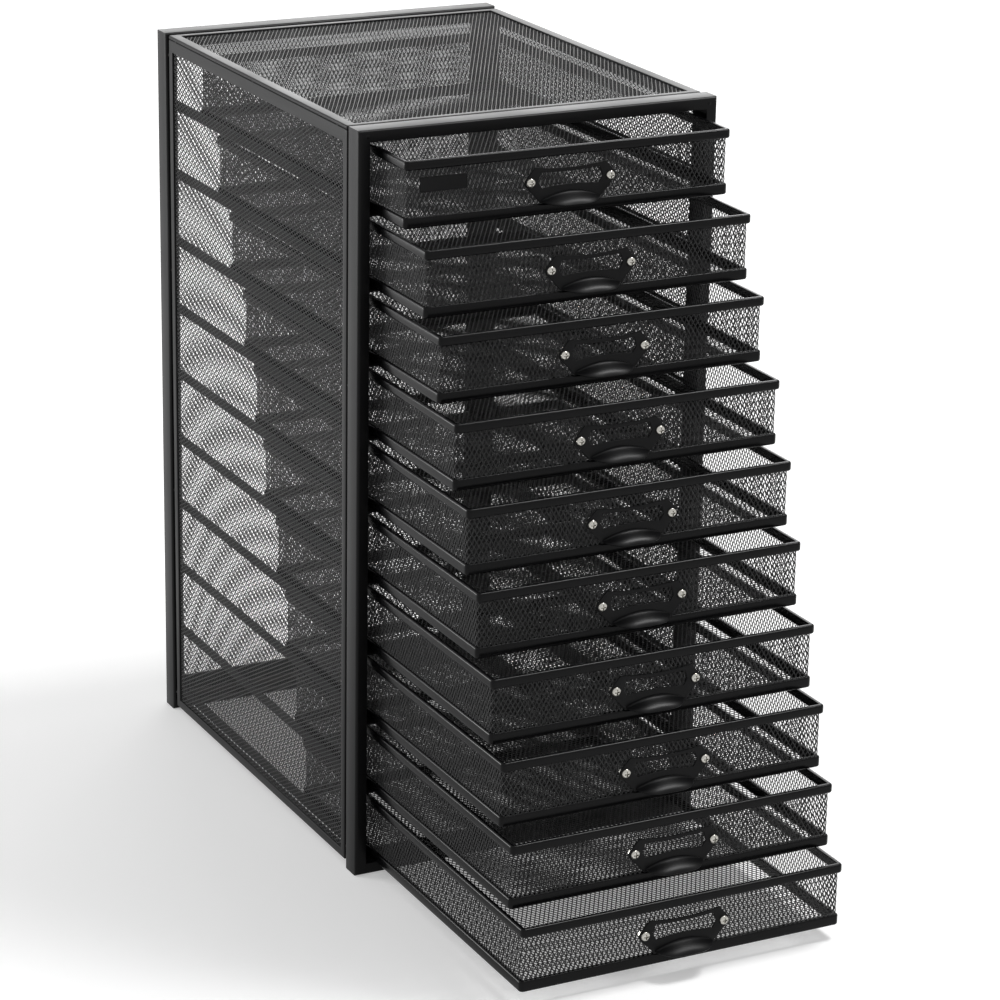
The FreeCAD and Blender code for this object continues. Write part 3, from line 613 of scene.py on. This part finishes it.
# ------------------------------------------------------------------ pulls
# A pressed steel pull: a thin plate with a label window and two screw ears, and below the
# window a half-moon hood with a raised crease over it and a rolled lip for the fingers.
def rounded(corners, radii, between=8, turns=5):
    """Points round an outline with rounded corners; each corner and edge has the same count."""
    corners = [Vector(corner) for corner in corners]
    arcs = []
    for place, corner in enumerate(corners):
        before = (corners[place - 1] - corner).normalized()
        after = (corners[(place + 1) % len(corners)] - corner).normalized()
        half = before.angle(after) / 2
        centre = corner + (before + after).normalized() * radii[place] / math.sin(half)
        first = corner + before * radii[place] / math.tan(half) - centre
        last = corner + after * radii[place] / math.tan(half) - centre
        sweep = first.angle_signed(last)
        arc = []
        for step in range(turns + 1):
            turn = sweep * step / turns
            arc.append(centre + Matrix.Rotation(-turn, 2) @ first)
        arcs.append(arc)
    points = []
    for place, arc in enumerate(arcs):
        points += arc
        target = arcs[(place + 1) % len(arcs)][0]
        points += [arc[-1].lerp(target, step / between) for step in range(1, between)]
    return points


def washer(outer, inner, front, back, edge):
    """A plate in mm with a hole: two outlines in X and Z with softened edges, along Y."""
    def moved(points, distance):
        """Points pushed to the left of the way they run."""
        result = []
        for place, point in enumerate(points):
            along = (points[(place + 1) % len(points)] - points[place - 1]).normalized()
            result.append(point + Vector((-along.y, along.x)) * distance)
        return result

    steps = 3
    rows = []
    for points, side, levels in ((outer, 1, (front, back)), (inner, -1, (back, front))):
        for leaving, level in enumerate(levels):
            way = 1 if level == front else -1
            for step in range(steps + 1):
                turn = math.radians(90) * step / steps
                rise, run = edge * (1 - math.sin(turn)), edge * (1 - math.cos(turn))
                inset, depth = (run, rise) if leaving else (rise, run)
                rows.append([(x, level + way * depth, z)
                             for x, z in moved(points, side * inset)])
    build = bmesh.new()
    verts = [[build.verts.new([value * MM for value in point]) for point in row] for row in rows]
    for one, two in zip(verts, verts[1:] + verts[:1]):
        for place in range(len(one)):
            after = (place + 1) % len(one)
            build.faces.new((one[place], one[after], two[after], two[place]))
    return finished(build, 50)


def hood():
    """The half-moon hood: it leaves the plate along a raised arc and curves out to a lip."""
    half, metal, columns, rows = 20.8, 0.9, 60, 18
    apex, arc, depth, lip = 14.7, 40, 10.0, 8.8
    # Shares of the reach and of the fall from the crease, steep at first and at the lip.
    bends = [Vector((0, 0)), Vector((0, 0.4)), Vector((0.85, 0.4)), Vector((1, 1))]
    build = bmesh.new()
    sections = []
    for column in range(columns + 1):
        share = -math.cos(math.pi * column / columns)
        swell = 1 - share ** 4
        crease = apex - arc + math.sqrt(arc ** 2 - (half * share) ** 2)
        reach, fall = depth * swell, crease - lip + 1.3 * swell
        grade = min(1.0, reach / 5)
        outside, inside = [], []
        for row in range(rows + 1):
            t = row / rows
            weights = ((1 - t) ** 3, 3 * (1 - t) ** 2 * t, 3 * (1 - t) * t ** 2, t ** 3)
            out, down = sum((bend * weight for bend, weight in zip(bends, weights)), Vector((0, 0)))
            slopes = (3 * (1 - t) ** 2, 6 * (1 - t) * t, 3 * t ** 2)
            run, drop = sum(((after - bend) * slope for bend, after, slope
                             in zip(bends, bends[1:], slopes)), Vector((0, 0)))
            normal = Vector((0.3 * share, -drop * fall, run * reach)).normalized()
            spot = Vector((half * share, 1.1 - out * reach, crease - down * fall))
            # The crease stands up as a fine bead, and the lip is rolled.
            lift = 0.4 * math.exp(-(down * fall / 0.5) ** 2)
            lift += 0.25 * math.exp(-((1 - down) * fall / 0.6) ** 2)
            outside.append(spot + normal * lift * grade)
            inside.append(spot - normal * metal * grade)
        tip = (outside[-1] + inside[-1]) / 2
        tip += (outside[-1] - outside[-2]).normalized() * 0.25 * grade
        section = outside + [tip] + inside[::-1]
        sections.append([build.verts.new(spot * MM) for spot in section])
    for one, two in zip(sections, sections[1:]):
        for place in range(len(one)):
            after = (place + 1) % len(one)
            build.faces.new((one[place], one[after], two[after], two[place]))
    return finished(build, 60)


# Dipped and baked: hardly any orange peel, so the hood shows one soft smooth highlight.
enamel = powder_coat("gloss_black_stove_enamel", "#060607", 0.36, 0.006, 0.13)
plate = rounded([(-20.7, 7.6), (20.7, 7.6), (33.4, 21.2), (25, 30.8), (-25, 30.8), (-33.4, 21.2)],
                [1.2, 1.2, 4, 1.2, 1.2, 4])
window = rounded([(-20, 17.2), (20, 17.2), (22.5, 21.6), (20.5, 27.4), (-20.5, 27.4),
                  (-22.5, 21.6)], [1.4] * 6)
for point in plate:
    if point.y > 26:
        point.y -= 1.9 * max(0.0, 1 - (point.x / 25) ** 2) * min(1.0, (point.y - 26) / 4.5)
for point in window:
    arch = max(0.0, 1 - (point.x / 20) ** 2)
    point.y += -0.9 * arch if point.y > 24 else 1.3 * arch
pull = joined([washer(plate, window, 1.0, 2.0, 0.3), hood()])
drawers("pull_pressing", pull, enamel, "pull_enamel", "pull")


# ------------------------------------------------------------------ pull screws
# Two nickel-plated pan-head machine screws hold each pull, with hexagon nuts behind the mesh.
def nickel_plate():
    """Bright nickel plate: a soft mirror with a faint warm tint and a very fine drawn grain."""
    material = bpy.data.materials.new("bright_nickel_plated_steel")
    material.use_nodes = True
    tree = material.node_tree
    tree.nodes.clear()
    place = add(tree, "ShaderNodeTexCoord").outputs["Object"]
    grain = add(tree, "ShaderNodeTexNoise", {"Vector": place, "Scale": 1 / (0.5 * MM)})
    rough = add(tree, "ShaderNodeMapRange", {"Value": grain, 3: 0.1, 4: 0.18})
    bump = add(tree, "ShaderNodeBump", {"Height": grain, "Distance": 0.01 * MM, "Strength": 0.4})
    metal = add(tree, "ShaderNodeBsdfPrincipled",
                {"Base Color": linear("#b0aea8"), "Metallic": 1.0, "Roughness": rough,
                 "Normal": bump})
    add(tree, "ShaderNodeOutputMaterial", {"Surface": metal})
    return material


def block(width, depth, height, spot):
    """A plain block in mm round a spot, used as a cutter."""
    build = bmesh.new()
    bmesh.ops.create_cube(build, size=1)
    for vert in build.verts:
        # The cross recess narrows as it goes in.
        taper = 1 if vert.co.y < 0 else 0.6
        vert.co = Vector((vert.co.x * width * taper, vert.co.y * depth,
                          vert.co.z * height * taper)) * MM + Vector(spot) * MM
    mesh = bpy.data.meshes.new("cutter")
    build.to_mesh(mesh)
    build.free()
    return mesh


nickel = nickel_plate()
# From under the head to the nut: the mesh and the plate with a little play.
GRIP = 1.6
SPACING, LEVEL = 56, 21.2
head = lathe([(0, 2.0), (0.8, 1.99), (1.6, 1.9), (2.2, 1.72), (2.65, 1.45), (2.95, 1.1),
              (3.1, 0.75), (3.15, 0.35), (3.15, 0), (0, 0)], (0, -1, 0), (0, 0, 0), 40)
for width, height in ((1.05, 3.9), (3.9, 1.05)):
    solid = bpy.data.objects.new("head", head)
    tool = bpy.data.objects.new("tool", block(width, 1.6, height, (0, -1.75, 0)))
    for thing in (solid, tool):
        scene.collection.objects.link(thing)
    cutting = solid.modifiers.new("recess", "BOOLEAN")
    cutting.operation = "DIFFERENCE"
    cutting.object = tool
    evaluated = solid.evaluated_get(bpy.context.evaluated_depsgraph_get())
    head = bpy.data.meshes.new_from_object(evaluated)
    for thing in (solid, tool):
        bpy.data.objects.remove(thing)
head.shade_smooth()
head.set_sharp_from_angle(angle=math.radians(30))
shank = lathe([(0, 0), (1.5, 0), (1.5, GRIP + 2.8), (1.2, GRIP + 3.15), (0, GRIP + 3.2)],
              (0, 1, 0), (0, 0, 0), 20)
nut = lathe([(0, GRIP), (2.9, GRIP), (3.2, GRIP + 0.2), (3.2, GRIP + 2.2), (2.9, GRIP + 2.4),
             (0, GRIP + 2.4)], (0, 1, 0), (0, 0, 0), 6)
fastener = grown(row_of_copies, {
    "Count": 2, "Start": (-SPACING / 2 * MM, 1.0 * MM, LEVEL * MM), "Step": (SPACING * MM, 0, 0),
    "Material": nickel}, joined([head, shank, nut]))
drawers("pull_screws", fastener, nickel, "screw_nickel", "screws")


# ------------------------------------------------------------------ name plate
# A small blank plate of enamelled steel, folded at its edges, on the top drawer's mesh.
low, high = limits("badge_plate")
blank = bpy.data.meshes.new("blank")
build = bmesh.new()
face = [build.verts.new((x * MM, high[1] * MM, z * MM))
        for x, z in loop((low[0], low[2]), (high[0], high[2]), 1.2, 5)]
rim = [build.verts.new((x * MM, (low[1] + 0.35) * MM, z * MM))
       for x, z in loop((low[0], low[2]), (high[0], high[2]), 1.2, 5)]
lip = [build.verts.new((x * MM, low[1] * MM, z * MM))
       for x, z in loop((low[0] + 0.35, low[2] + 0.35), (high[0] - 0.35, high[2] - 0.35), 0.85, 5)]
field = [build.verts.new((x * MM, (low[1] + 0.25) * MM, z * MM))
         for x, z in loop((low[0] + 0.9, low[2] + 0.9), (high[0] - 0.9, high[2] - 0.9), 0.5, 5)]
for one, two in ((face, rim), (rim, lip), (lip, field)):
    for place in range(len(one)):
        after = (place + 1) % len(one)
        build.faces.new((one[place], one[after], two[after], two[place]))
build.faces.new(face)
build.faces.new(field)
piece("blank_name_plate", finished(build), enamel, "drawer_1", "badge_enamel", "badge_plate")
